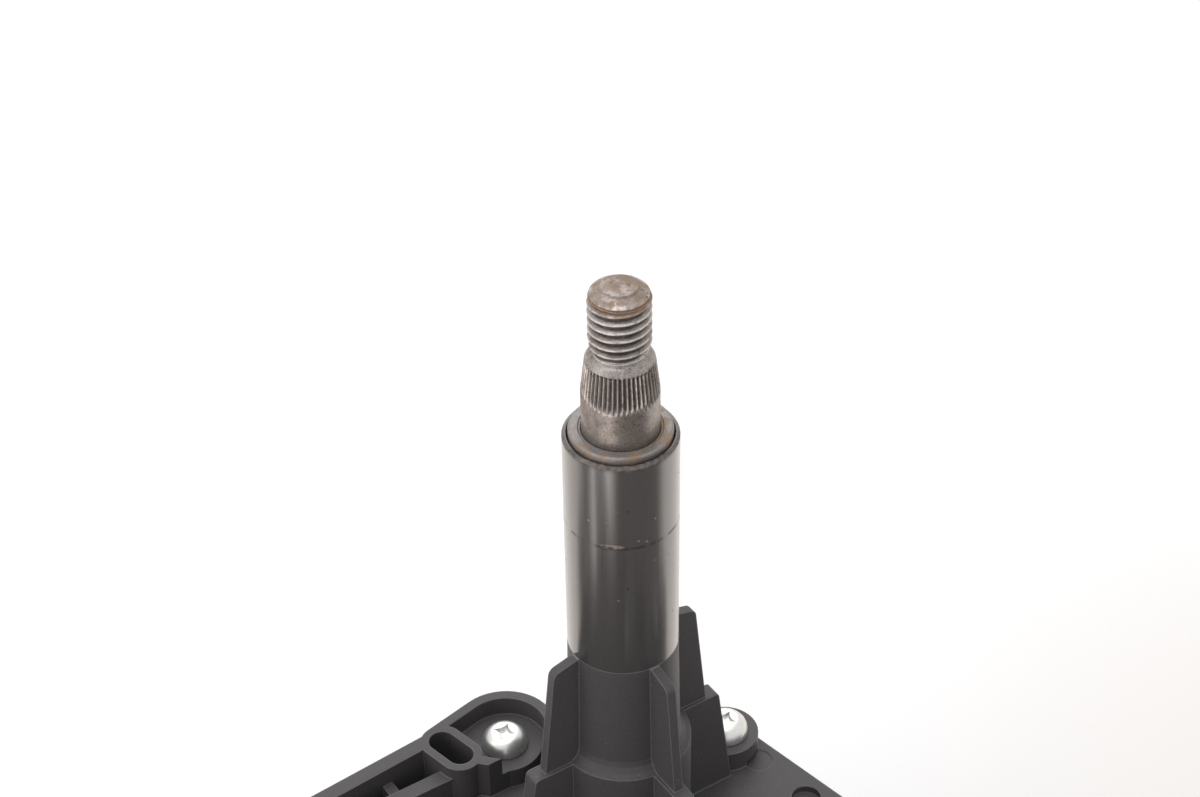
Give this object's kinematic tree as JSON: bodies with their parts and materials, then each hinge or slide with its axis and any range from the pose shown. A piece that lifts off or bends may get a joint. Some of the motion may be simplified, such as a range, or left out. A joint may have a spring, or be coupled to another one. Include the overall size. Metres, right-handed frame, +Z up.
{
  "type": "wiper motor",
  "caption": "Rear wiper motor: moulded gear housing with a tall spindle boss, oscillating spindle, crank linkage, worm drive, motor can, connector inlet and grommet ears.",
  "frame": {"origin": "on the spindle axis, in the plane of the bottom cover that the motor rests on", "axes": "+Z up along the spindle, -X towards the motor can, -Y towards the connector"},
  "size_m": [0.186, 0.116, 0.1269],
  "materials": {
    "housing_plastic": "moulded black, fine grain",
    "cover_plastic": "moulded black",
    "seal_rubber": "matte",
    "zinc_screw": "zinc plated",
    "spindle_steel": "blackened steel with rust",
    "sintered_bronze": "porous",
    "cap_washer_steel": "dull and dirty",
    "spring_steel": "satin",
    "gear_steel": "machined",
    "wheel_plastic": "natural acetal",
    "copper": "bright copper",
    "contact_board": "phenolic",
    "connector_plastic": "moulded",
    "tinned_brass": "tinned",
    "can_steel": "zinc plated, drawn",
    "ferrite": "ground",
    "core_steel": "laminated",
    "carbon": "pressed carbon",
    "grommet_rubber": "matte",
    "zinc_sleeve": "zinc plated"
  },
  "bodies": {
    "housing": {"gear_housing": "housing_plastic", "bottom_cover": "cover_plastic", "cover_gasket": "seal_rubber", "cover_screws": "zinc_screw", "upper_bush": "sintered_bronze", "lower_bush": "sintered_bronze", "spindle_seal": "seal_rubber", "spindle_cap_washer": "cap_washer_steel", "wheel_axle": "gear_steel", "contact_plate": "contact_board", "contact_fingers": "copper", "connector_shell": "connector_plastic", "connector_pins": "tinned_brass", "motor_can": "can_steel", "can_screws": "zinc_screw", "magnets": "ferrite", "magnet_clips": "spring_steel", "brush_holder": "contact_board", "brushes": "carbon", "brush_springs": "spring_steel", "choke_coils": "ferrite", "front_bearing": "sintered_bronze", "bearing_retainer": "spring_steel", "rear_bearing": "sintered_bronze", "worm_bush": "sintered_bronze", "thrust_pad": "contact_board", "mount_grommets": "grommet_rubber", "mount_sleeves": "zinc_sleeve"},
    "spindle": {"spindle": "spindle_steel", "spindle_circlip": "spring_steel", "spindle_pinion": "gear_steel"},
    "rocker": {"rocker_plate": "gear_steel", "sector_pivot_pin": "gear_steel"},
    "sector": {"sector_rod": "gear_steel", "crank_pin": "gear_steel"},
    "wheel": {"worm_wheel": "wheel_plastic", "park_disc": "copper"},
    "armature": {"armature_shaft": "gear_steel", "armature_core": "core_steel", "armature_windings": "copper", "commutator": "copper"}
  },
  "joints": [
    {"name": "spindle_sweep", "type": "hinge", "parent": "housing", "child": "spindle", "pos_m": [0, 0, 0.1055], "axis": [0, 0, 1], "range_deg": [0, 120]},
    {"name": "rocker_swing", "type": "hinge", "parent": "housing", "child": "rocker", "pos_m": [0, 0, 0.0264], "axis": [0, 0, 1], "range_deg": [0, 40]},
    {"name": "sector_turn", "type": "hinge", "parent": "rocker", "child": "sector", "pos_m": [-0.01459, -0.01511, 0.0226], "axis": [0, 0, 1], "range_deg": [-40, 0]},
    {"name": "armature_spin", "type": "hinge", "parent": "housing", "child": "armature", "pos_m": [-0.116, -0.02988, 0.0195], "axis": [1, 0, 0], "continuous": true},
    {"name": "wheel_spin", "type": "hinge", "parent": "housing", "child": "wheel", "pos_m": [-0.04091, -0.00338, 0.0195], "axis": [0, 0, 1], "continuous": true}
  ],
  "couplings": [
    {"joint": "rocker_swing", "follows": "spindle_sweep", "ratio": 0.33333},
    {"joint": "sector_turn", "follows": "spindle_sweep", "ratio": -0.33333},
    {"joint": "wheel_spin", "follows": "armature_spin", "ratio": -0.02}
  ]
}
